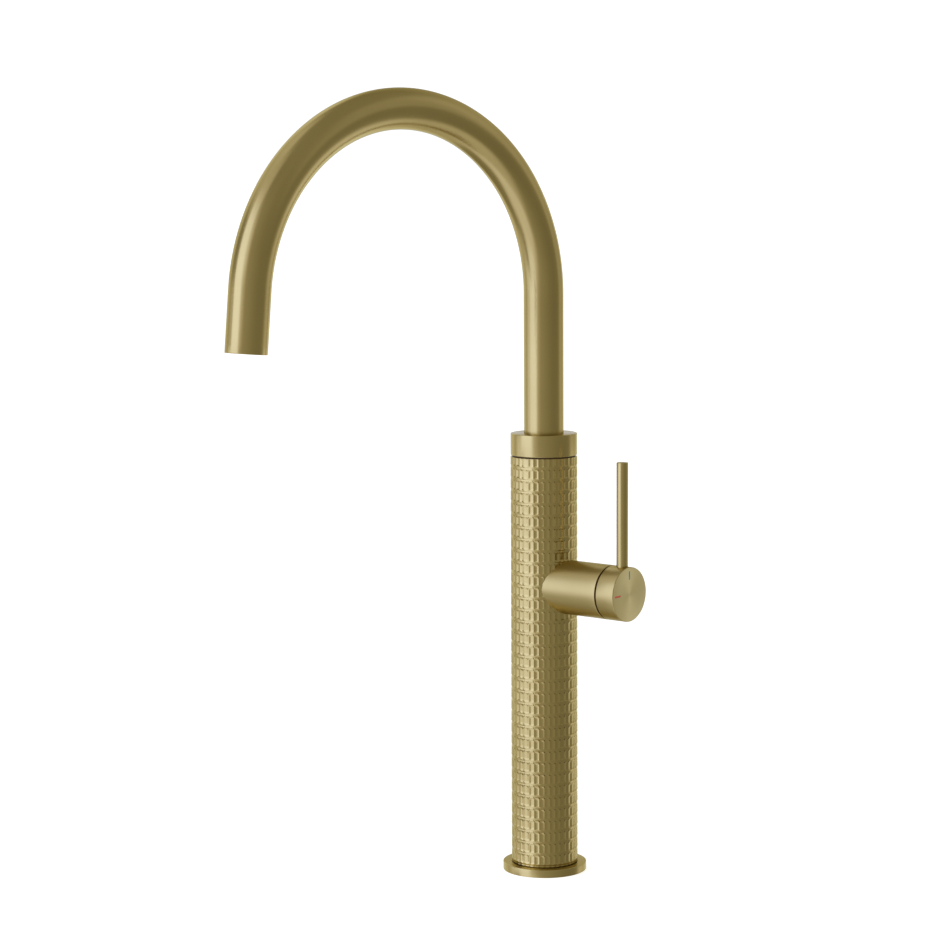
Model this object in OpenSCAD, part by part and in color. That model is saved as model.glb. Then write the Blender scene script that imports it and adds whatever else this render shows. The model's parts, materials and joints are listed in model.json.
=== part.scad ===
// Tall single-lever basin mixer faucet, in millimetres.
// Z points up from the deck's top face at z = 0. The handle turns about +X, and the spout
// reaches towards -Y, turned a little towards -X at rest. Threads are plain cylinders.

/* [Base] */
// Radius of the base flange
flange_r = 22.1; // [20.8:0.1:30]
// Thickness of the base flange
flange_t = 4.2; // [3:0.1:6]
// Radius of the threaded core in each hose port (M10 x 1)
port_r = 4.5; // [4:0.1:5]
// Depth of each hose port
port_depth = 12; // [8:0.5:16]

/* [Under the deck] */
// Deck thickness that the fixing kit is drawn clamped on
deck_t = 30; // [5:1:40]
// Radius of the fixing stud (M8)
stud_r = 4; // [3:0.5:5]
// Lowest point of the fixing stud
stud_low = -62; // [-90:1:-50]
// Radius of the horseshoe washers
shoe_r = 21; // [18:0.5:25]

/* [Column] */
// Outer radius of the column sleeve
sleeve_r = 17.6; // [17:0.1:20]
// Wall of the column sleeve
sleeve_wall = 2; // [1.5:0.1:2]
// Height of the top edge of the sleeve
sleeve_top = 221; // [215:0.1:230]

/* [Handle] */
// Height of the handle's axis
handle_z = 153; // [145:0.1:160]
// Outer radius of the side housing and the handle cap
handle_r = 14.2; // [14:0.1:16]
// Distance from the column's axis to the end of the side housing
housing_end = 44.5; // [44:0.1:50]
// Open gap between the side housing and the handle cap
handle_gap = 1.0; // [0.5:0.1:2]
// Distance from the column's axis to the cap's outer face
cap_face = 56.5; // [55:0.1:62]
// Radius of the lever rod
lever_r = 3; // [2.5:0.1:4]
// Height of the top of the lever rod
lever_top = 221.1; // [200:0.1:240]
// Turn of the handle from closed to fully hot, in degrees
handle_turn = 90; // [60:5:110]

/* [Spout] */
// Outer radius of the spout tube
tube_r = 10.4; // [10:0.1:12]
// Wall of the spout tube
tube_wall = 1.2; // [1:0.1:1.5]
// Height at which the arch begins
arch_z = 306; // [250:0.1:350]
// Centreline radius of the arch
arch_r = 94.9; // [80:0.1:120]
// Angle that the arch turns through
arch_deg = 174.9; // [160:0.1:180]
// Straight length between the arch and the outlet
outlet_leg = 30.5; // [29:0.1:50]
// Height of the collar below the spout tube
collar_h = 11.4; // [10:0.1:16]
// Outer radius of the collar
collar_r = 17.5; // [17:0.1:20]
// Where the spout stands at rest, in degrees from straight ahead
spout_rest = -8.4; // [-60:0.1:60]
// Turn of the spout each way from straight ahead
spout_turn = 60; // [30:5:90]

/* [Hidden] */
$fn = 96;
gap = 0.1;          // clearance between nested pieces that don't move
run = 0.05;         // radial clearance of a turning fit
far = 0.3;          // clearance around pieces that turn without bearing
eps = 0.5;          // how far a cutter runs past a face
core_r = sleeve_r - sleeve_wall - gap;
port_x = -4.5;      // hose ports and supply tubes, at plus and minus port_y
port_y = 6.8;
stud_x = 8.5;
supply_r = 4;       // copper supply tube
ring_s = 0.65;      // section radius of the small O-rings
block_top = 25;
body_low = 124;     // brass valve body inside the sleeve
body_top = 188;
seat_x = 4;         // face that the cartridge sits on
pocket_r = 10.5;
nipple_x = 9;
nipple_r = 12.2;
lever_x = cap_face - 4.7;
grub_x = cap_face - 7.7;
shell_r = 10.3;     // cartridge shell
cavity_r = 8.8;
spindle_r = 4;
riser_r = 7;
socket_low = 196;   // swivel socket at the top of the column
socket_top = sleeve_top - 0.3;
spigot_r = 9;
spigot_low = 206.4;
stop_z = 210;
stop_r = 1.5;
collar_low = sleeve_top + 0.8;
collar_top = collar_low + collar_h;
flange_thread_r = 12.1;
flange_thread_top = collar_low + 5;
insert_low = 16;    // threaded insert in the outlet, from the arch's end
leg_swell = 0.04;   // how much thicker the outlet leg's wall is on each side
stop_clear = 15;    // half angle that the stop pin and its clearance take up in the slot
mark_deep = 0.3;

// ---- shared shapes ----

module ring(r_in, r_out, z0, z1, low = 0, high = 0) {
    // a turned ring; low and high are the chamfers of its outer edges
    rotate_extrude()
        polygon([[r_in, z0], [r_out - low, z0], [r_out, z0 + low],
                 [r_out, z1 - high], [r_out - high, z1], [r_in, z1]]);
}

module rod(r, z0, z1, x = 0, y = 0) {
    translate([x, y, z0]) cylinder(r = r, h = z1 - z0);
}

module o_ring(r_mid, r_section, z, x = 0, y = 0) {
    translate([x, y, z]) rotate_extrude() translate([r_mid, 0]) circle(r = r_section, $fn = 48);
}

module on_handle() {
    // local Z runs out along the handle's axis, local -X points up
    translate([0, 0, handle_z]) rotate([0, 90, 0]) children();
}

module port(y, z, r, x0, x1) {
    // a hole along X, at y and at z from the handle's axis
    on_handle() rod(r, x0, x1, -z, y);
}

module seat_ports(x0, x1) {
    for (side = [-1, 1]) port(side * 5, -3.4, 1.9, x0, x1);
    port(0, 0, 2.3, x0, x1);
}

module disc_ports(x0, x1) {
    for (side = [-1, 1]) port(side * 2.8, -5.4, 1.9, x0, x1);
    port(0, 0, 2.3, x0, x1);
}

module sector(r_in, r_out, z0, z1, from, sweep) {
    rotate([0, 0, from]) rotate_extrude(angle = sweep)
        translate([r_in, z0]) square([r_out - r_in, z1 - z0]);
}

module on_spout() {
    rotate([0, 0, spout_rest]) children();
}

module at_outlet() {
    // local Z runs out of the spout, from the end of the arch
    on_spout() rotate([0, 0, 90]) translate([-arch_r, 0, arch_z])
        rotate([0, -arch_deg, 0]) translate([arch_r, 0, 0]) children();
}

// ---- base ----

module base_flange() {
    color("goldenrod") difference() {
        ring(core_r + gap, flange_r, 0, flange_t, high = 0.35);
        rod(17, -eps, 1.3);
        ring(18, 20.6, -eps, 1.2);
    }
}

module base_gasket() {
    color("black") ring(18.05, 20.5, 0, 1.15);
}

module inlet_block() {
    color("darkkhaki") difference() {
        union() {
            rod(core_r, 1, block_top);
            rod(16.9, 0, 1.2);
        }
        for (side = [-1, 1]) {
            rod(port_r, -eps, port_depth, port_x, side * port_y);
            rod(3, port_depth - eps, 17, port_x, side * port_y);
            rod(supply_r + gap, 16.5, block_top + eps, port_x, side * port_y);
            rod(5.5, 19, 20.8, port_x, side * port_y);
        }
        rod(stud_r + gap, -eps, 18, stud_x);
    }
}

module fixing_stud() {
    color("silver") translate([stud_x, 0, 0]) ring(0, stud_r, stud_low, 17.8, low = 0.6, high = 0.6);
}

module horseshoe(z0, z1) {
    // round washer with a slot for the hoses that is open towards -X
    difference() {
        rod(shoe_r, z0, z1);
        translate([-shoe_r - 5, -12, z0 - eps]) cube([shoe_r + 5 - 4, 24, z1 - z0 + 2 * eps]);
        intersection() {
            rod(12, z0 - eps, z1 + eps, -4);
            translate([-shoe_r, -12, z0 - eps]) cube([shoe_r + 3, 24, z1 - z0 + 2 * eps]);
        }
        rod(stud_r + 0.3, z0 - eps, z1 + eps, stud_x);
    }
}

module horseshoe_gasket() {
    color("black") horseshoe(-deck_t - 2, -deck_t);
}

module horseshoe_plate() {
    color("silver") horseshoe(-deck_t - 4.5, -deck_t - 2);
}

module fixing_nut() {
    color("goldenrod") difference() {
        union() {
            rod(8.5, -deck_t - 6, -deck_t - 4.5, stud_x);
            translate([stud_x, 0, -deck_t - 13]) cylinder(r = 7.5, h = 7.5, $fn = 6);
        }
        rod(stud_r + gap, -deck_t - 14, -deck_t - 4, stud_x);
    }
}

module supply_tube(side) {
    translate([port_x, side * port_y, 0]) ring(supply_r - 0.8, supply_r, 17.2, 131.8);
}

module hot_supply_tube() {
    color("peru") supply_tube(1);
}

module cold_supply_tube() {
    color("peru") supply_tube(-1);
}

module supply_ring(side, z) {
    o_ring(supply_r + 0.75, ring_s, z, port_x, side * port_y);
}

module hot_inlet_o_ring() {
    color("black") supply_ring(1, 19.9);
}

module cold_inlet_o_ring() {
    color("black") supply_ring(-1, 19.9);
}

module hot_valve_o_ring() {
    color("black") supply_ring(1, 126.9);
}

module cold_valve_o_ring() {
    color("black") supply_ring(-1, 126.9);
}

// ---- column ----

module column_sleeve() {
    color("goldenrod") difference() {
        ring(sleeve_r - sleeve_wall, sleeve_r, flange_t, sleeve_top);
        on_handle() rod(nipple_r + 0.2, 5, 25);
    }
}

module valve_body() {
    color("darkkhaki") difference() {
        rod(core_r, body_low, body_top);
        on_handle() rod(pocket_r, seat_x, 30);
        on_handle() rod(nipple_r + gap, nipple_x, 30);
        for (side = [-1, 1]) {
            rod(supply_r + gap, body_low - eps, 132, port_x, side * port_y);
            rod(5.5, 126, 127.8, port_x, side * port_y);
            rod(3, 131, handle_z - 1.5, port_x, side * port_y);
            port(side * 5, -3.4, 1.9, port_x, seat_x + eps);
        }
        port(0, 0, 2.3, -1.5, seat_x + eps);
        rod(2.6, handle_z - 2.3, 179, -1.5);
        rod(riser_r + gap, 178, body_top + eps);
        rod(8.6, 181, 183);
    }
}

module side_housing() {
    color("goldenrod") difference() {
        on_handle() ring(nipple_r + gap, handle_r, 8, housing_end, high = 0.25);
        rod(sleeve_r + 0.02, 100, 200);
    }
    color("goldenrod") on_handle() difference() {
        rod(nipple_r + gap + 0.5, housing_end - 2.8, housing_end - 0.3);
        rod(10.6, housing_end - 4, housing_end + eps);
        rod(11.9, housing_end - 1, housing_end + eps);
    }
}

module cartridge_nipple() {
    color("darkkhaki") on_handle() ring(pocket_r, nipple_r, nipple_x, housing_end - 2.9);
}

module cartridge_seal() {
    color("dimgray") difference() {
        on_handle() rod(10.2, seat_x, 5.2);
        seat_ports(3, 6);
    }
}

module cartridge_base() {
    color("ivory") difference() {
        on_handle() rod(10.2, 5.2, 9.2);
        seat_ports(5, 7.4);
        disc_ports(7.2, 10);
    }
}

module ceramic_fixed_disc() {
    color("white") difference() {
        on_handle() rod(8.6, 9.2, 12.4);
        disc_ports(9, 13);
    }
}

module cartridge_shell() {
    color("whitesmoke") on_handle() {
        difference() {
            rod(shell_r, 9.2, 38);
            rod(cavity_r, 9, 22.5);
            rod(spindle_r + run, 22, 39);
            rod(5.6, 28, 30);
        }
        // two ribs that stop the carrier's lug
        for (start = [146, 192.5 + handle_turn])
            sector(7.2, cavity_r + 0.4, 16, 22.7, start, 21.5);
    }
}

module spindle_o_ring() {
    color("black") on_handle() o_ring(4.95, 0.55, 29);
}

module cartridge_nut() {
    color("darkkhaki") on_handle() difference() {
        union() {
            rod(pocket_r - gap, 38, housing_end - 0.9);
            rod(11.7, housing_end - 0.95, housing_end - 0.1);
        }
        rod(7, 37, housing_end + eps);
    }
}

module handle_glide_ring() {
    color("black") on_handle() ring(12, 13.4, housing_end, housing_end + handle_gap - 0.1);
}

// ---- handle: everything that turns with the lever ----

module ceramic_moving_disc() {
    color("white") on_handle() difference() {
        rod(8.4, 12.45, 15.6);
        rod(2.8, 12, 14);
        rotate([0, 0, -62.5]) {
            translate([0, -1.7, 12]) cube([6.2, 3.4, 2]);
            translate([6.2, 0, 12]) cylinder(r = 1.7, h = 2);
        }
    }
}

module disc_carrier() {
    color("gainsboro") on_handle() difference() {
        union() {
            rod(6.8, 15.6, 19.1);
            sector(6, 8.4, 16.1, 19.1, 170, 20);
        }
        rod(spindle_r + gap, 17, 20);
    }
}

module cartridge_spindle() {
    color("khaki") on_handle() {
        rod(spindle_r, 17.05, cap_face - 4);
        rod(6.5, 19.2, 22.2);
    }
}

module handle_cap() {
    color("goldenrod") difference() {
        on_handle() ring(0, handle_r, housing_end + handle_gap, cap_face, low = 0.2, high = 0.35);
        on_handle() rod(spindle_r + gap, housing_end, cap_face - 3.9);
        translate([lever_x, 0, handle_z]) {
            rod(2.1, 6.2, 20);
            rod(lever_r + run, 10.5, 20);
        }
        translate([grub_x, 0, handle_z]) rod(2.1, -20, -3);
        face_mark(-0.05, 0) mark_bar(7.8, 12);
        face_mark(-0.05, 90) mark_bar(7.4, 12.4);
    }
}

module face_mark(inset, turn) {
    // bars set into the cap's face, from its centre outwards; 0 is up and 90 is towards -Y
    translate([cap_face - mark_deep + inset, 0, handle_z]) rotate([turn, 0, 0]) children();
}

module mark_bar(r0, r1, grow = 0.05) {
    translate([0, -0.4 - grow, r0 - grow]) cube([2, 0.8 + 2 * grow, r1 - r0 + 2 * grow]);
}

module handle_grub_screw() {
    color("dimgray") translate([grub_x, 0, handle_z]) difference() {
        rod(2, -10.5, -4.15);
        translate([0, 0, -11]) cylinder(r = 1.15, h = 2.5, $fn = 6);
    }
}

module lever_rod() {
    color("goldenrod") translate([lever_x, 0, 0]) union() {
        ring(0, lever_r, handle_z + 10.6, lever_top, high = 0.45);
        rod(2, handle_z + 6.4, handle_z + 11);
    }
}

module inlay(r0, r1, turn) {
    face_mark(0, turn) translate([0, -0.4, r0]) cube([mark_deep - 0.05, 0.8, r1 - r0]);
}

module blue_mark() {
    color("teal") inlay(7.8, 12, 0);
}

module red_mark() {
    color("red") inlay(7.4, 12.4, 90);
}

// ---- riser and swivel ----

module riser_tube() {
    color("peru") ring(riser_r - 1.2, riser_r, 178.3, 203.7);
}

module riser_lower_o_ring() {
    color("black") o_ring(riser_r + 0.85, 0.7, 182);
}

module riser_upper_o_ring() {
    color("black") o_ring(riser_r + 0.85, 0.7, 199);
}

module swivel_socket() {
    color("darkkhaki") difference() {
        rod(core_r, socket_low, socket_top);
        rod(riser_r + gap, socket_low - eps, 204);
        rod(8.6, 198, 200);
        rod(5.5, 203, 207);
        rod(spigot_r + run, 206, socket_top + eps);
        translate([0, 8, stop_z]) rotate([-90, 0, 0]) cylinder(r = stop_r + run, h = 10);
    }
}

module stop_pin() {
    color("silver") translate([0, 6.9, stop_z]) rotate([-90, 0, 0])
        cylinder(r = stop_r, h = core_r - 7);
}

module swivel_glide_ring() {
    color("black") {
        ring(spigot_r + 0.4, sleeve_r - sleeve_wall - 0.1, socket_top, sleeve_top + eps);
        ring(spigot_r + 0.4, 16.6, sleeve_top, collar_low - 0.1);
    }
}

// ---- spout: everything that swivels ----

module swivel_spigot() {
    color("darkkhaki") on_spout() difference() {
        union() {
            rod(spigot_r, spigot_low, collar_low + eps);
            rod(flange_thread_r, collar_low, flange_thread_top);
        }
        rod(4.8, spigot_low - eps, flange_thread_top + eps);
        for (z = [213.6, 217]) ring(7.6, spigot_r + eps, z - 0.85, z + 0.85);
        // slot that the stop pin runs in
        sector(6.6, spigot_r + eps, stop_z - stop_r - far, stop_z + stop_r + far,
               90 - spout_turn - stop_clear, 2 * (spout_turn + stop_clear));
    }
}

module spigot_lower_o_ring() {
    color("black") on_spout() o_ring(8.2, 0.55, 213.6);
}

module spigot_upper_o_ring() {
    color("black") on_spout() o_ring(8.2, 0.55, 217);
}

module spout_collar() {
    color("goldenrod") on_spout() difference() {
        ring(tube_r + gap, collar_r, collar_low, collar_top, low = 0.3, high = 0.35);
        rod(flange_thread_r + gap, collar_low - eps, flange_thread_top + gap);
    }
}

module arch() {
    // its end runs 1 mm inside the wall of the outlet leg
    rotate([0, 0, 90]) translate([-arch_r, 0, arch_z]) rotate([90, 0, 0])
        rotate_extrude(angle = arch_deg + 0.6) translate([arch_r, 0]) difference() {
            circle(r = tube_r);
            circle(r = tube_r - tube_wall);
        }
}

module spout_tube() {
    color("goldenrod") union() {
        on_spout() union() {
            ring(tube_r - tube_wall, tube_r, flange_thread_top + gap, arch_z);
            arch();
        }
        at_outlet() ring(tube_r - tube_wall - leg_swell, tube_r + leg_swell, 0, outlet_leg, high = 0.25);
    }
}

module outlet_insert() {
    color("darkkhaki") at_outlet() difference() {
        rod(tube_r - tube_wall - gap, insert_low, outlet_leg - 1.2);
        rod(7, insert_low - eps, outlet_leg);
        rod(8.3, insert_low + 2, outlet_leg);
    }
}

module aerator_seal() {
    color("black") at_outlet() ring(7.1, 8.2, insert_low + 2.05, insert_low + 3.5);
}

module aerator_mesh() {
    color("silver") at_outlet() difference() {
        rod(7.3, 20, 20.4);
        for (i = [-3:3], j = [-3:3]) if (i * i + j * j < 11)
            translate([i * 1.9 - 0.6, j * 1.9 - 0.6, 19]) cube([1.2, 1.2, 2]);
    }
}

module aerator_insert() {
    color("whitesmoke") at_outlet() difference() {
        rod(7.3, 20.6, 26.7);
        rod(0.9, 20, 27);
        for (a = [0:60:300]) rotate([0, 0, a]) rod(0.9, 20, 27, 2.4);
        for (a = [0:30:330]) rotate([0, 0, a]) rod(0.9, 20, 27, 4.9);
    }
}

module aerator_housing() {
    color("gray") at_outlet() difference() {
        rod(8.2, 19.6, 28);
        rod(7.4, 19, 26.8);
        rod(6.5, 26, 29);
    }
}

base_flange();
base_gasket();
inlet_block();
fixing_stud();
horseshoe_gasket();
horseshoe_plate();
fixing_nut();
hot_supply_tube();
cold_supply_tube();
hot_inlet_o_ring();
cold_inlet_o_ring();
hot_valve_o_ring();
cold_valve_o_ring();
column_sleeve();
valve_body();
cartridge_nipple();
side_housing();
cartridge_seal();
cartridge_base();
ceramic_fixed_disc();
cartridge_shell();
spindle_o_ring();
cartridge_nut();
handle_glide_ring();
riser_tube();
riser_lower_o_ring();
riser_upper_o_ring();
swivel_socket();
stop_pin();
swivel_glide_ring();
ceramic_moving_disc();
disc_carrier();
cartridge_spindle();
handle_cap();
handle_grub_screw();
lever_rod();
blue_mark();
red_mark();
swivel_spigot();
spigot_lower_o_ring();
spigot_upper_o_ring();
spout_collar();
spout_tube();
outlet_insert();
aerator_seal();
aerator_mesh();
aerator_insert();
aerator_housing();
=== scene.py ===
"""Looks for the basin mixer: camera, studio, brushed brass and the tooled column sleeve."""
import json
import math

import bmesh
import bpy
import numpy as np
from mathutils import Matrix, Vector


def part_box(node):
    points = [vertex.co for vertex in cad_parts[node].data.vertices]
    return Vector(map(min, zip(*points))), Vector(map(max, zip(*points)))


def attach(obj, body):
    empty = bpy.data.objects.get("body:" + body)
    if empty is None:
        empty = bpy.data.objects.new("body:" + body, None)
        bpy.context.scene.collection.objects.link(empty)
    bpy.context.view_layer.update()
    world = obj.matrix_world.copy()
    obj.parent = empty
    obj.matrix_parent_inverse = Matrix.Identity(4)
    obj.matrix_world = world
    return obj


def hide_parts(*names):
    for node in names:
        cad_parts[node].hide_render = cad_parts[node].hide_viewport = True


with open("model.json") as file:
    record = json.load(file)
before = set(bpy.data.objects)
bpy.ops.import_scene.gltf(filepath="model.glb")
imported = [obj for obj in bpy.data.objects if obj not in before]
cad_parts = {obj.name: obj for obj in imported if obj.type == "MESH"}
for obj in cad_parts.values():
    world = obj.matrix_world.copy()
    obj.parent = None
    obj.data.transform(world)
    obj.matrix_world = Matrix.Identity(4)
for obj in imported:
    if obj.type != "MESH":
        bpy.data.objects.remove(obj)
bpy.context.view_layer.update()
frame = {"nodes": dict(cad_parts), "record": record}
nodes = frame["nodes"]
MM = 0.001

# ---- sizes taken from the frame, in millimetres ----


def cad(name):
    low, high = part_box(name)
    return np.array(low) / MM, np.array(high) / MM


FLANGE_LOW, FLANGE_HIGH = cad("base_flange")
SLEEVE_LOW, SLEEVE_HIGH = cad("column_sleeve")
CAP_LOW, CAP_HIGH = cad("handle_cap")
LEVER_LOW, LEVER_HIGH = cad("lever_rod")
HOUSING_HIGH = cad("side_housing")[1]
COLLAR_LOW, COLLAR_HIGH = cad("spout_collar")
SLEEVE_R = SLEEVE_HIGH[0]
HANDLE_Z = (CAP_LOW[2] + CAP_HIGH[2]) / 2
HANDLE_R = (CAP_HIGH[2] - CAP_LOW[2]) / 2
LEVER_X = (LEVER_LOW[0] + LEVER_HIGH[0]) / 2
TUBE_R, TUBE_WALL = 10.4, 1.2
ARCH_R, ARCH_Z, ARCH_DEG = 94.9, 306.0, 174.9  # the arch's radius, the height of its middle, and its sweep
LEG = 30.5                                     # straight length from the arch to the outlet
TUBE_SEAT = 5.1                                # how far the tube's foot stands above the collar's
SPOUT_REST = -8.4                              # degrees from straight ahead
LEVER_R, LEVER_SEAT = 3, 10.6                  # the seat is this far above the handle's axis
GRUB_X, GRUB_R = CAP_HIGH[0] - 7.7, 2
AXIS = 0.02                                    # stands for 0 where a turned outline meets its axis

# ---- camera, at the photograph's viewing angle ----

BACK = math.radians(-49.3385)  # heading from the column towards the camera
PITCH, ROLL = 0.11256, -0.00518  # radians
LENS = 104.226
AWAY, ACROSS, UP = 1.42, -0.03881, 0.37425  # the camera's place, in metres


def make_camera():
    toward = Vector((math.cos(BACK), math.sin(BACK), 0))
    right = Vector((-math.sin(BACK), math.cos(BACK), 0))
    look = -toward * math.cos(PITCH) - Vector((0, 0, math.sin(PITCH)))
    up = right.cross(look)
    data = bpy.data.cameras.new("camera")
    data.sensor_width = 36
    data.lens = LENS
    data.clip_start, data.clip_end = 0.05, 50
    obj = bpy.data.objects.new("camera", data)
    side = right * math.cos(ROLL) + up * math.sin(ROLL)
    turn = Matrix((side, side.cross(look), -look)).transposed().to_4x4()
    place = toward * AWAY + right * ACROSS + Vector((0, 0, UP))
    obj.matrix_world = Matrix.Translation(place) @ turn
    bpy.context.scene.collection.objects.link(obj)
    bpy.context.scene.camera = obj


# ---- node helpers ----


class Nodes:
    """A small wrapper that adds and links shader nodes."""

    def __init__(self, tree):
        self.tree = tree
        tree.nodes.clear()

    def add(self, kind, inputs=None, **settings):
        node = self.tree.nodes.new(kind)
        for key, value in settings.items():
            setattr(node, key, value)
        for key, value in (inputs or {}).items():
            if isinstance(value, bpy.types.NodeSocket):
                self.tree.links.new(value, node.inputs[key])
            else:
                node.inputs[key].default_value = value
        return node

    def math(self, op, a, b=0.0, clamp=False):
        return self.add("ShaderNodeMath", {0: a, 1: b}, operation=op, use_clamp=clamp).outputs[0]

    def ramp(self, fac, stops):
        node = self.add("ShaderNodeValToRGB", {0: fac})
        elements = node.color_ramp.elements
        while len(elements) < len(stops):
            elements.new(0.5)
        for element, (place, colour) in zip(elements, sorted(stops)):
            element.position = place
            element.color = (*colour, 1)
        return node.outputs[0]

    def noise(self, vector, scale, detail=2.0, rough=0.5):
        return self.add("ShaderNodeTexNoise", {"Vector": vector, "Scale": scale, "Detail": detail,
                                               "Roughness": rough}).outputs[0]


def new_material(name):
    mat = bpy.data.materials.new(name)
    mat.use_nodes = True
    return mat, Nodes(mat.node_tree)


def finish_material(n, inputs):
    shader = n.add("ShaderNodeBsdfPrincipled", inputs)
    n.add("ShaderNodeOutputMaterial", {"Surface": shader.outputs[0]})


BRASS_DARK, BRASS_LIGHT = (0.560, 0.440, 0.185), (0.620, 0.495, 0.215)
BRASS_EDGE = (0.58, 0.54, 0.36, 1)  # its tint where it is seen edge on
PIT_SHADE_BRASS = (0.20, 0.15, 0.05)      # painted shade that darkens the sleeve's pits


def brushed(name, rough=0.25, aniso=0.6, across=5.0, along=0.02, bump=0.015, rotation=0.25, coat=0.1,
            shades=(BRASS_DARK, BRASS_LIGHT), pit_shade=0.0):
    """Brushed, coated brass on a mesh whose UVs are millimetres: u around the turning, v along the axis.

    The brushing's scale is given along and across its lines. The last argument paints shade: it darkens the
    colour by the mesh's "pit" attribute.
    """
    mat, n = new_material(name)
    uv = n.add("ShaderNodeUVMap", uv_map="mm").outputs[0]
    fine = n.noise(n.add("ShaderNodeMapping", {0: uv, 3: (along, across, 1)}).outputs[0], 1.0, 3, 0.6)
    broad = n.noise(n.add("ShaderNodeMapping", {0: uv, 3: (along * 0.5, across * 0.14, 1)}).outputs[0],
                    1.0, 2, 0.5)
    body = n.add("ShaderNodeTexCoord").outputs["Object"]
    cloud = n.noise(body, 22.0, 2, 0.5)
    tone = n.math("ADD", n.math("MULTIPLY", fine, 0.25), n.math("MULTIPLY", cloud, 0.75))
    stops = [(0.32, shades[0]), (0.68, shades[1])]
    # painted shade: the brass goes dark in the pits, standing in for the shade deep inside them
    if pit_shade:
        pit = n.add("ShaderNodeAttribute", attribute_name="pit").outputs["Fac"]
        tone = n.math("SUBTRACT", tone, n.math("MULTIPLY", pit, pit_shade), True)
        stops += [(0.0, PIT_SHADE_BRASS), (0.2, shades[0])]
    colour = n.ramp(tone, stops)
    roughness = n.math("ADD", n.math("MULTIPLY", n.math("SUBTRACT", fine, 0.5), 0.04),
                       n.math("ADD", n.math("MULTIPLY", broad, 0.05), rough - 0.025))
    normal = n.add("ShaderNodeBump", {"Height": fine, "Strength": bump, "Distance": 0.0001}).outputs[0]
    tangent = n.add("ShaderNodeTangent", direction_type="UV_MAP", uv_map="mm").outputs[0]
    finish_material(n, {"Base Color": colour, "Metallic": 1.0, "Roughness": roughness, "Normal": normal,
                        "Anisotropic": aniso, "Anisotropic Rotation": rotation, "Tangent": tangent,
                        "Specular Tint": BRASS_EDGE, "Coat Weight": coat, "Coat Roughness": 0.28})
    return mat


def grained(name, dark, light, metallic, rough, scale, bump=0.05, coat=0.0, spread=0.1, specular=0.5):
    """A plain procedural finish for pieces that keep their CAD mesh: mottled colour, uneven gloss."""
    mat, n = new_material(name)
    body = n.add("ShaderNodeTexCoord").outputs["Object"]
    grain = n.noise(body, scale, 4, 0.6)
    patch = n.noise(body, scale * 0.08, 2, 0.5)
    mix = n.math("ADD", n.math("MULTIPLY", grain, 0.5), n.math("MULTIPLY", patch, 0.5))
    colour = n.ramp(mix, [(0.35, dark), (0.65, light)])
    roughness = n.math("ADD", n.math("MULTIPLY", grain, spread), rough - spread / 2)
    normal = n.add("ShaderNodeBump", {"Height": grain, "Strength": bump, "Distance": 0.0002}).outputs[0]
    finish_material(n, {"Base Color": colour, "Metallic": metallic, "Roughness": roughness,
                        "Normal": normal, "Coat Weight": coat, "Coat Roughness": 0.2,
                        "Specular IOR Level": specular})
    return mat


# ---- mesh helpers ----

SHARP = 28  # degrees; edges sharper than this are left unsmoothed on the turned pieces


def fillet(points, radii, steps=5):
    """Rounds the corners of an open (r, z) outline; radii holds one radius for each point."""
    out = []
    for i, (p, radius) in enumerate(zip(points, radii)):
        p = np.array(p, float)
        if radius <= 0 or i in (0, len(points) - 1):
            out.append(tuple(p))
            continue
        a, b = np.array(points[i - 1], float) - p, np.array(points[i + 1], float) - p
        a, b = a / np.linalg.norm(a), b / np.linalg.norm(b)
        half = math.acos(np.clip(a @ b, -1, 1)) / 2
        reach = radius / math.tan(half)
        middle = p + (a + b) / np.linalg.norm(a + b) * radius / math.sin(half)
        start, end = p + a * reach - middle, p + b * reach - middle
        for t in np.linspace(0, 1, steps + 1):
            v = start * (1 - t) + end * t
            out.append(tuple(middle + v / np.linalg.norm(v) * radius))
    return out


def surface(name, grid, uv, body, mat, stands_for, close_v, sharp):
    """A quad mesh from grid[row][column] points in mm, closed around its columns. uv is in mm.

    close_v also joins the last row to the first. Edges over sharp degrees stay sharp.
    """
    grid = np.asarray(grid, float)
    rows, cols = grid.shape[:2]
    last = rows if close_v else rows - 1
    r, c = np.meshgrid(np.arange(last), np.arange(cols), indexing="ij")
    r2, c2 = (r + 1) % rows, (c + 1) % cols
    faces = np.stack([r * cols + c, r * cols + c2, r2 * cols + c2, r2 * cols + c], -1).reshape(-1, 4)
    mesh = bpy.data.meshes.new(name)
    mesh.from_pydata(grid.reshape(-1, 3) * MM, [], faces.tolist())
    u, v = uv  # u has cols + 1 columns, v has rows + 1 values
    corners = np.stack([np.stack([u[c], v[r]], -1), np.stack([u[c + 1], v[r]], -1),
                        np.stack([u[c + 1], v[r + 1]], -1), np.stack([u[c], v[r + 1]], -1)], 2)
    layer = mesh.uv_layers.new(name="mm")
    layer.data.foreach_set("uv", corners.reshape(-1).astype(np.float32))
    mesh.polygons.foreach_set("use_smooth", np.ones(len(faces), bool))
    mesh.materials.append(mat)
    mesh.update()
    obj = bpy.data.objects.new(name, mesh)
    bpy.context.scene.collection.objects.link(obj)
    mesh.set_sharp_from_angle(angle=math.radians(sharp))
    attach(obj, body)
    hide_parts(stands_for)
    return obj


def along(values):
    """Running length along a list of points, with the closing step at the end."""
    pts = np.asarray(values, float)
    step = np.linalg.norm(np.roll(pts, -1, 0) - pts, axis=1)
    return np.concatenate([[0], np.cumsum(step)])


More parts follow.
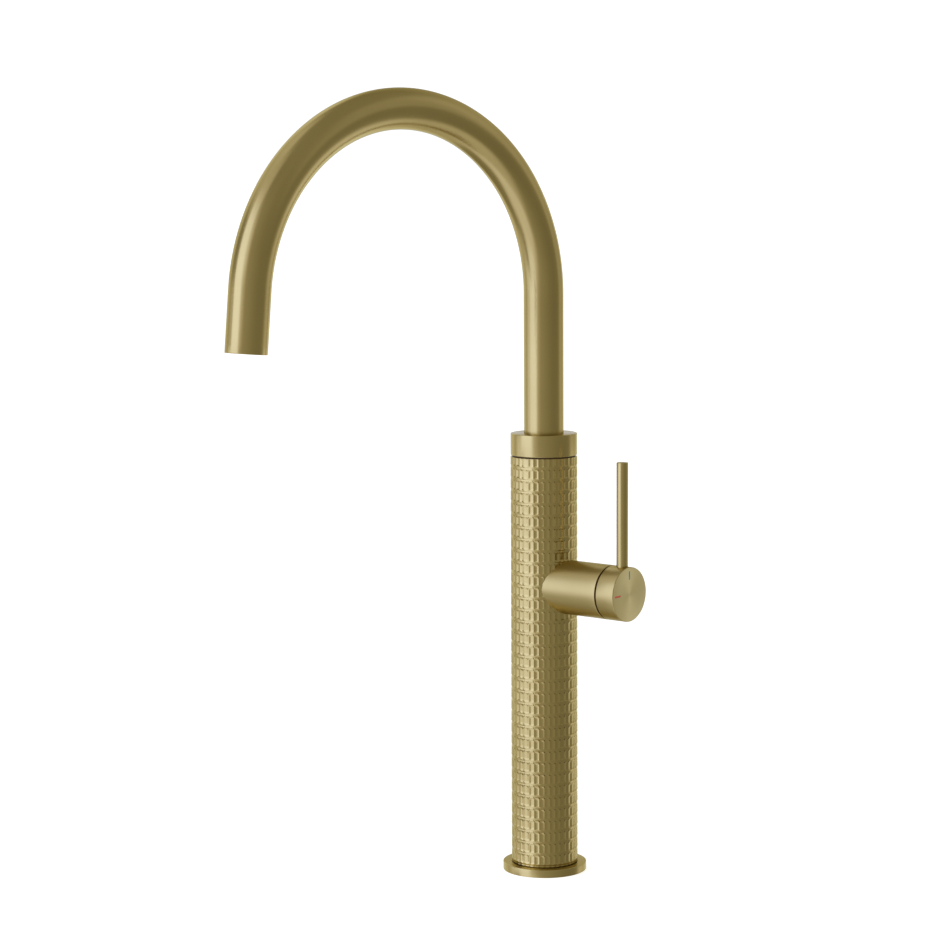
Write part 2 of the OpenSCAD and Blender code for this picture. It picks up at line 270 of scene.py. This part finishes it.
def lathe(name, outline, body, mat, stands_for, axis="z", height=0.0, turns=192):
    """Turns a closed (r, z) outline around Z, or around the handle's axis."""
    outline = np.asarray(outline, float)
    angle = np.arange(turns) * 2 * math.pi / turns
    radius, level = outline[:, 0][:, None], outline[:, 1][:, None]
    a, b, level = radius * np.cos(angle), radius * np.sin(angle), level + 0 * angle
    grid = np.stack([a, b, level], -1) if axis == "z" else np.stack([level, a, b + height], -1)
    reach = outline[:, 0].max()
    u = np.arange(turns + 1) * 2 * math.pi * reach / turns
    return surface(name, grid, (u, along(outline)), body, mat, stands_for, True, SHARP)


# ---- studio ----

# The room's brightness, then soft-edged panels laid over it, each over those before it: its left
# and right heading, its low and high elevation, its brightness, and the softness of its side
# edges and of its low and high edges. Angles are in degrees. Heading 0 is at the camera, negative
# is the left of the picture, and 180 is behind.
ROOM = 0.28
PANELS = [
    (-45, 12, -42, 42, 0.37, 28, 12),             # room at the front, a little lighter
    (45, 92, -42, 8, 0.235, 16, 12),              # and darker at the right
    (62, 125, 10, 48, 0.37, 10, 8),               # right front card, high
    (-180, 180, -95, -46, 0.60, 0, 8),            # table
    (-170, -5, -95, -42, 0.76, 25, 8),            # table, lit side
    (-72, -14, -95, -26, 0.90, 12, 9),            # table below the key light
    (97, 205, -4, 42, 0.50, 7, 12),               # right rear card
    (104, 205, -46, -6, 0.80, 8, 8),              # right rear card, low
    (142, 222, -34, 12, 1.25, 8, 5),              # sweep behind
    (142, 215, 10, 28, 0.70, 8, 8),               # top of the sweep
    (-172, -141, 2, 47, 1.15, 7, 9),              # left rear card
    (-143, -123, -36, 48, 0.84, 7, 9),            # its dimmer edge
    (-124, -90, -50, 4, 0.60, 7, 7),              # left rear gap
    (-108, -82, -15, 1, 1.00, 6, 5),              # light left of the key light, level with it
    (-150, -88, 30, 75, 0.62, 8, 6),              # left rear, high
    (-166, -94, -72, -31, 0.30, 6, 6),            # left rear, low
    (-52, -25, 6, 36, 0.90, 8, 8),                # the key light's edge, high
    (-60, -31, -15, 6, 0.62, 13, 6),              # the key light's edge, level
    (-52, -25, -60, -15, 0.86, 9, 6),             # the key light's edge, low
    (-89, -34, 40, 68, 0.58, 7, 8),               # top of the key light
    (-76, -42, -30, -12, 1.15, 6, 6),             # foot of the key light
    (-87, -42, -12, 42, 1.34, 4, 8),              # key light
]


# the light's tint at a low and a high brightness, which is halved to fit the ramp's 0 to 1
WARM, COOL = (0.12, (1.06, 1.0, 0.74)), (0.64, (0.94, 1.03, 1.42))


def make_world():
    scene = bpy.context.scene
    scene.view_settings.view_transform = "Standard"
    scene.view_settings.look = "None"
    world = bpy.data.worlds.new("studio")
    scene.world = world
    world.use_nodes = True
    n = Nodes(world.node_tree)
    direction = n.add("ShaderNodeTexCoord").outputs["Generated"]
    turned = n.add("ShaderNodeMapping", {0: direction, 2: (0, 0, -BACK)}).outputs[0]
    x, y, z = n.add("ShaderNodeSeparateXYZ", {0: turned}).outputs
    heading = n.math("MULTIPLY", n.math("ARCTAN2", y, x), 180 / math.pi)
    height = n.math("MULTIPLY", n.math("ARCSINE", z), 180 / math.pi)

    def step(value, start, end):
        return n.add("ShaderNodeMapRange", {"Value": value, "From Min": start, "From Max": end},
                     interpolation_type="SMOOTHSTEP").outputs[0]

    level = ROOM
    for left, right, low, high, bright, soft_h, soft_v in PANELS:
        middle, half = (left + right) / 2, (right - left) / 2
        turn = n.math("ABSOLUTE", n.add("ShaderNodeMath", {0: n.math("SUBTRACT", heading, middle), 1: 180.0,
                                                           2: -180.0}, operation="WRAP").outputs[0])
        share = n.math("MULTIPLY", step(height, low - soft_v, low + soft_v),
                       n.math("SUBTRACT", 1.0, step(height, high - soft_v, high + soft_v)))
        if soft_h:
            beside = n.math("SUBTRACT", 1.0, step(turn, half - soft_h, half + soft_h))
            share = n.math("MULTIPLY", share, beside)
        level = n.math("ADD", n.math("MULTIPLY", n.math("SUBTRACT", 1.0, share), level),
                       n.math("MULTIPLY", share, bright))
    level = n.math("MULTIPLY", level, 0.5)
    tint = n.ramp(level, [WARM, COOL])
    back = n.add("ShaderNodeBackground", {"Color": tint, "Strength": n.math("MULTIPLY", level, 2.0)})
    # the panels light the object, and the backdrop itself is plain white
    white = n.add("ShaderNodeBackground", {"Color": (1, 1, 1, 1), "Strength": 1.1})
    seen = n.add("ShaderNodeLightPath").outputs["Is Camera Ray"]
    mix = n.add("ShaderNodeMixShader", {0: seen, 1: back.outputs[0], 2: white.outputs[0]})
    n.add("ShaderNodeOutputWorld", {"Surface": mix.outputs[0]})


def make_floor():
    """A plain white floor, lit from within a little so that it stays pale."""
    mesh = bpy.data.meshes.new("floor")
    size = 40
    mesh.from_pydata([(-size, -size, 0), (size, -size, 0), (size, size, 0), (-size, size, 0)], [],
                     [(0, 1, 2, 3)])
    floor = bpy.data.objects.new("floor", mesh)
    bpy.context.scene.collection.objects.link(floor)
    mat, n = new_material("floor_white")
    place = n.add("ShaderNodeTexCoord").outputs["Object"]
    tint = n.ramp(n.noise(place, 1.5), [(0.3, (0.90, 0.90, 0.89)), (0.7, (0.93, 0.93, 0.92))])
    finish_material(n, {"Base Color": tint, "Roughness": 0.9, "Specular IOR Level": 0.1,
                        "Emission Color": (1, 1, 1, 1), "Emission Strength": 0.75})
    mesh.materials.append(mat)
    floor.visible_glossy = False


# ---- the tooled sleeve ----

SLEEVE_WALL = 2
FLUTES = 39
ROW = 6.20
FIRST_FLUTE = math.degrees(BACK) - 24.6  # heading of one flute's middle
TOP_ROW = 0.80                           # how much of a row shows below the sleeve's top edge
# deepest cut, the cutter's radius, length of the pointed end, and the gap past the point
SCOOP, CUTTER, TAPER, TIP = 0.29, 4.4, 1.2, 0.2
RING, RING_HALF = 0.15, 0.95           # the shallow ring between rows: depth and half width
PIT, PIT_R, PIT_DROP = 0.15, 0.55, 0.85  # the pit near a ridge's top end: depth, radius, drop
FOOT_GAP, FOOT_CUT = 0.45, 1.4         # the shadow gap at the foot: height and depth


def scoop_depth(a, b):
    """The cut's depth at a across and b along from a scoop's middle, in mm, and the pit's share there."""
    end = np.clip((ROW / 2 - TIP - np.abs(b)) / TAPER, 0, 1)
    scoop = SCOOP * end ** 1.4 * (1.6 - 0.6 * end) - a * a / (2 * CUTTER)
    ring = RING * (1 - ((ROW / 2 - np.abs(b)) / RING_HALF) ** 2)
    reach = np.hypot(math.pi * SLEEVE_R / FLUTES - np.abs(a), ROW / 2 - PIT_DROP - b)
    pit = np.clip(1 - reach / PIT_R, 0, 1)
    return np.maximum(0, np.maximum(scoop, ring)) + PIT * pit, pit


def make_sleeve(mat):
    low, high = SLEEVE_LOW[2], SLEEVE_HIGH[2]
    # each row's levels, closer together near its ends
    parts = np.array([0, 0.03, 0.06, 0.1, 0.14, 0.18, 0.22, 0.3, 0.4, 0.5, 0.6, 0.7, 0.78, 0.82, 0.86,
                      0.9, 0.94, 0.97])
    edge = high - TOP_ROW * ROW
    rows = math.ceil((edge - low) / ROW)
    levels = np.concatenate([edge + (k + parts) * ROW for k in range(-rows, 2)])
    inside = levels[(levels > low + FOOT_GAP + 0.05) & (levels < high - 0.05)]
    levels = np.concatenate([[low, low + FOOT_GAP, low + FOOT_GAP + 0.02], inside, [high]])
    per = 12  # columns to a flute
    cols = FLUTES * per
    index = np.arange(cols)
    pitch = 2 * math.pi / FLUTES
    angle = math.radians(FIRST_FLUTE) + (index / per - 0.5) * pitch
    across = ((index % per) / per - 0.5) * pitch * SLEEVE_R
    row = (levels - edge) / ROW
    lengthwise = (row - np.floor(row) - 0.5) * ROW
    depth, pit = scoop_depth(across[None, :], lengthwise[:, None])
    depth[levels < low + FOOT_GAP + 0.01] = FOOT_CUT  # a shadow gap at the foot
    outer = np.stack([(SLEEVE_R - depth) * np.cos(angle), (SLEEVE_R - depth) * np.sin(angle),
                      levels[:, None] + 0 * depth], -1)
    inner_r = SLEEVE_R - SLEEVE_WALL
    ring = np.stack([inner_r * np.cos(angle), inner_r * np.sin(angle), 0 * angle], -1)
    grid = np.concatenate([outer, [ring + [0, 0, high]], [ring + [0, 0, low]]])
    tall = high - low
    back = [tall + SLEEVE_WALL, 2 * tall + SLEEVE_WALL, 2 * (tall + SLEEVE_WALL)]
    lengths = np.concatenate([levels - low, back])
    u = np.arange(cols + 1) * 2 * math.pi * SLEEVE_R / cols
    sleeve = surface("tooled_sleeve", grid, (u, lengths), "tap", mat, "column_sleeve",
                     True, 50)
    # the pits' share, which the tooled brass reads to paint shade into the pits
    mark = np.concatenate([pit.reshape(-1), np.zeros(2 * cols)]).astype(np.float32)
    sleeve.data.attributes.new("pit", "FLOAT", "POINT").data.foreach_set("value", mark)


# ---- the visible turned pieces ----


def make_flange(mat):
    """The base flange, with a recess and the gasket's groove in its underside."""
    low, high = FLANGE_LOW[2], FLANGE_HIGH[2]
    r = FLANGE_HIGH[0]
    points = [(15.5, low + 1.3), (17, low + 1.3), (17, low), (18, low), (18, low + 1.2),
              (20.6, low + 1.2), (20.6, low), (r, low), (r, high), (15.5, high)]
    lathe("brushed_flange", fillet(points, [0, 0, 0, 0, 0, 0, 0, 0.12, 0.3, 0]), "tap",
          mat, "base_flange")


def make_collar(mat):
    """The spout's collar, bored for the tube above and for the spigot's threaded flange below."""
    low, high = COLLAR_LOW[2], COLLAR_HIGH[2]
    r, tube_bore, flange_bore = COLLAR_HIGH[0], TUBE_R + 0.05, 12.2
    points = [(tube_bore, low + TUBE_SEAT), (flange_bore, low + TUBE_SEAT), (flange_bore, low), (r, low),
              (r, high), (tube_bore, high)]
    lathe("brushed_collar", fillet(points, [0, 0, 0, 0.25, 0.3, 0]), "spout", mat,
          "spout_collar")


def make_housing(mat):
    """The side housing: its inner end is shaped to the sleeve and reaches just under its scoops."""
    r, end = HANDLE_R, HOUSING_HIGH[0]
    bore = 12.35
    turns = 192
    angle = np.arange(turns) * 2 * math.pi / turns
    saddle = np.sqrt((SLEEVE_R - SCOOP - 0.2) ** 2 - (r * np.cos(angle)) ** 2)
    # a rounded edge, then a recessed step that shades the gap beside the cap
    rim = fillet([(r, end - 4), (r, end), (r - 0.4, end), (r - 0.4, end - 0.9), (r - 1.6, end - 0.9),
                  (r - 1.6, end - 3)], [0, 0.18, 0, 0, 0, 0])
    rows = []

    def add(radius, level):
        y, z = radius * np.cos(angle), radius * np.sin(angle) + HANDLE_Z
        rows.append(np.stack([level + 0 * angle, y, z], -1))

    for t in np.linspace(0, 1, 6):
        add(r, saddle + (end - 4 - saddle) * t)
    for radius, level in rim[1:]:
        add(radius, level)
    add(bore, end - 3)
    add(bore, saddle + 1)
    grid = np.array(rows)
    lengths = along(grid[:, 0])
    u = np.arange(turns + 1) * 2 * math.pi * r / turns
    surface("brushed_housing", grid, (u, lengths), "tap", mat, "side_housing", True, SHARP)


def box_cutter(low, high):
    bm = bmesh.new()
    bmesh.ops.create_cube(bm, size=1)
    low, high = np.array(low) * MM, np.array(high) * MM
    for v in bm.verts:
        v.co = Vector((low + high) / 2 + np.array(v.co) * (high - low))
    return bm


def cylinder_cutter(x, z0, z1, radius, turns=64):
    bm = bmesh.new()
    bmesh.ops.create_cone(bm, cap_ends=True, segments=turns, radius1=radius * MM, radius2=radius * MM,
                          depth=(z1 - z0) * MM)
    bmesh.ops.translate(bm, verts=bm.verts, vec=(x * MM, 0, (z0 + z1) / 2 * MM))
    return bm


def cut(obj, cutters):
    """Takes the cutters' shapes out of a mesh for good."""
    for bm in cutters:
        mesh = bpy.data.meshes.new("cutter")
        bm.to_mesh(mesh)
        bm.free()
        tool = bpy.data.objects.new("cutter", mesh)
        bpy.context.scene.collection.objects.link(tool)
        modifier = obj.modifiers.new("cut", "BOOLEAN")
        modifier.operation, modifier.object, modifier.solver = "DIFFERENCE", tool, "EXACT"
        bpy.context.view_layer.update()
        result = bpy.data.meshes.new_from_object(obj.evaluated_get(bpy.context.evaluated_depsgraph_get()))
        obj.modifiers.clear()
        obj.data = result
        bpy.data.objects.remove(tool)
    obj.data.set_sharp_from_angle(angle=math.radians(SHARP))


def make_cap(mat, face):
    """The handle cap, with its spindle bore, its marks' slots, and the lever's and screw's holes."""
    low, high, r = CAP_LOW[0], CAP_HIGH[0], HANDLE_R
    bore, end_wall = 4.1, 3.9
    # the flat end has three extra rings, so that its faces stay well shaped
    points = [(AXIS, high - end_wall), (bore, high - end_wall), (bore, low), (r, low), (r, high), (9, high),
              (4, high), (1.2, high), (AXIS, high)]
    outline = fillet(points, [0, 0, 0, 0.15, 0.32, 0, 0, 0, 0])
    cap = lathe("brushed_cap", outline, "handle", mat, "handle_cap", "x", HANDLE_Z)
    cap.data.materials.append(face)
    # the slots' depth, how far their cutters stand out of the face, and the clearance around a mark
    depth, proud, grow = 0.35, 1, 0.04
    slots = []
    for mark_low, mark_high in (cad("blue_mark"), cad("red_mark")):
        slots.append(box_cutter((high - depth, mark_low[1] - grow, mark_low[2] - grow),
                                (high + proud, mark_high[1] + grow, mark_high[2] + grow)))
    cut(cap, slots + [cylinder_cutter(LEVER_X, HANDLE_Z + LEVER_SEAT - 0.1, HANDLE_Z + 20, LEVER_R + 0.05),
                      cylinder_cutter(GRUB_X, HANDLE_Z - 20, HANDLE_Z - 4, GRUB_R + 0.1)])
    # the spun finish, whose lighter colour is painted light, is on the flat end only
    for polygon in cap.data.polygons:
        if polygon.normal.x > 0.99 and polygon.center.x > (high - 0.01) * MM:
            polygon.material_index = 1


def make_lever(mat):
    """The lever rod, with the thinner end that screws into the cap."""
    low, seat, high = LEVER_LOW[2], HANDLE_Z + LEVER_SEAT, LEVER_HIGH[2]
    screw_r = 2
    points = [(AXIS, low), (screw_r, low), (screw_r, seat), (LEVER_R, seat), (LEVER_R, high), (AXIS, high)]
    lever = lathe("brushed_lever", fillet(points, [0, 0, 0, 0.1, 0.35, 0]), "handle",
                  mat, "lever_rod", turns=96)
    lever.data.transform(Matrix.Translation((LEVER_X * MM, 0, 0)))


def make_spout(mat):
    """The bent tube as one swept wall with a rounded lip."""
    path = [(0.0, z, 0.0) for z in np.linspace(COLLAR_LOW[2] + TUBE_SEAT, ARCH_Z, 9)[:-1]]
    bend = np.radians(np.linspace(0, ARCH_DEG, 121))
    path += [(ARCH_R * (1 - math.cos(t)), ARCH_Z + ARCH_R * math.sin(t), t) for t in bend]
    s_end, z_end, t_end = path[-1]
    path += [(s_end + d * math.sin(t_end), z_end + d * math.cos(t_end), t_end)
             for d in np.linspace(0, LEG, 8)[1:]]
    turns = 128
    angle = np.arange(turns) * 2 * math.pi / turns
    heading = math.radians(SPOUT_REST - 90)  # the way that the spout reaches
    reach = np.array([math.cos(heading), math.sin(heading), 0])
    side = np.array([-reach[1], reach[0], 0])

    def ring(s, z, t, radius):
        out = np.array([reach[0] * math.cos(t), reach[1] * math.cos(t), -math.sin(t)])
        middle = reach * s + np.array([0, 0, z])
        return middle + radius * (np.outer(np.cos(angle), out) + np.outer(np.sin(angle), side))

    outer = [ring(*p, TUBE_R) for p in path]
    inner = [ring(*p, TUBE_R - TUBE_WALL) for p in reversed(path)]
    s, z, t = path[-1]
    round_r = 0.22
    lip = []
    for k in np.linspace(0, math.pi / 2, 5)[1:]:
        back, inward = round_r * (1 - math.sin(k)), round_r * (1 - math.cos(k))
        lip.append(ring(s - back * math.sin(t), z - back * math.cos(t), t, TUBE_R - inward))
    outer[-1] = ring(s - round_r * math.sin(t), z - round_r * math.cos(t), t, TUBE_R)
    grid = np.array(outer + lip + inner)
    u = np.arange(turns + 1) * 2 * math.pi * TUBE_R / turns
    surface("brushed_spout", grid, (u, along(grid[:, 0])), "spout", mat, "spout_tube",
            True, 35)


def make_stud(mat):
    """The fixing stud with its real M8 thread, as one helical surface."""
    low, high = cad("fixing_stud")
    x, turns = (low[0] + high[0]) / 2, 36
    pitch, crest_r, thread_depth, tip_r = 1.25, 4.0, 0.66, 0.05
    angle = np.arange(turns) * 2 * math.pi / turns
    levels = np.arange(low[2], high[2] + 1e-6, pitch / 10)
    phase = levels[:, None] / pitch - angle / (2 * math.pi)
    wave = np.abs((phase % 1) * 2 - 1)
    crest = np.clip(wave * 1.25 - 0.125, 0, 1)
    taper = np.clip(np.minimum(levels - low[2], high[2] - levels) / 0.8, 0, 1)[:, None]
    radius = (crest_r - thread_depth * (1 - crest)) * (0.82 + 0.18 * taper)
    grid = np.stack([x + radius * np.cos(angle), radius * np.sin(angle), levels[:, None] + 0 * radius], -1)
    tip = np.stack([x + tip_r * np.cos(angle), tip_r * np.sin(angle), 0 * angle], -1)
    grid = np.concatenate([[tip + [0, 0, low[2]]], grid, [tip + [0, 0, high[2]]]])
    u = np.arange(turns + 1) * 2 * math.pi * crest_r / turns
    surface("threaded_stud", grid, (u, along(grid[:, 0])), "tap", mat, "fixing_stud", False, 50)


# ---- build ----

make_camera()
make_world()
make_floor()
turned_brass = brushed("brass_turned")
side_brass = brushed("brass_side", rough=0.33, aniso=0.5, rotation=0.0)
tube_brass = brushed("brass_tube", rough=0.24, aniso=0.3)
tooled_brass = brushed("brass_tooled", rough=0.16, aniso=0.1, across=3.0, along=0.3, bump=0.02,
                       pit_shade=0.8)
make_sleeve(tooled_brass)
make_flange(turned_brass)
make_collar(turned_brass)
make_housing(side_brass)
# the flat end is the same brass, spun; its lighter shades are painted light that brightens the face
make_cap(side_brass, brushed("brass_spun_face_painted_light", rough=0.34, aniso=0.8,
                             shades=((0.84, 0.71, 0.38), (0.90, 0.78, 0.43))))
make_lever(brushed("brass_rod", rough=0.25, aniso=0.5))
make_spout(tube_brass)

steel = grained("steel", (0.42, 0.43, 0.44), (0.56, 0.57, 0.58), 1.0, 0.30, 900)
make_stud(steel)
FINISHES = {
    "plain_brass": grained("plain_brass", (0.60, 0.43, 0.17), (0.72, 0.54, 0.25), 1.0, 0.32, 800),
    "copper": grained("copper", (0.62, 0.30, 0.17), (0.74, 0.40, 0.25), 1.0, 0.30, 700),
    "steel": steel,
    "rubber": grained("rubber", (0.012, 0.012, 0.012), (0.028, 0.028, 0.028), 0.0, 0.62, 1500, 0.15),
    "glide_plastic": grained("glide_plastic", (0.075, 0.045, 0.018), (0.105, 0.062, 0.026), 0.0, 0.5, 1200,
                              specular=0.15),
    "white_plastic": grained("white_plastic", (0.62, 0.62, 0.60), (0.72, 0.72, 0.70), 0.0, 0.42, 1200),
    "ceramic": grained("ceramic", (0.78, 0.76, 0.72), (0.86, 0.84, 0.80), 0.0, 0.22, 1500, 0.01, 0.3),
    "red_enamel": grained("red_enamel", (0.50, 0.045, 0.03), (0.62, 0.075, 0.05), 0.0, 0.4, 3000),
    "blue_enamel": grained("blue_enamel", (0.035, 0.17, 0.20), (0.06, 0.24, 0.28), 0.0, 0.4, 3000),
    "brushed_brass": turned_brass,
    "tooled_brass": tooled_brass,
}
for part in frame["record"]["subparts"]:
    data = nodes[part["node"]].data
    data.materials.clear()
    data.materials.append(FINISHES[part["material_slot"]])
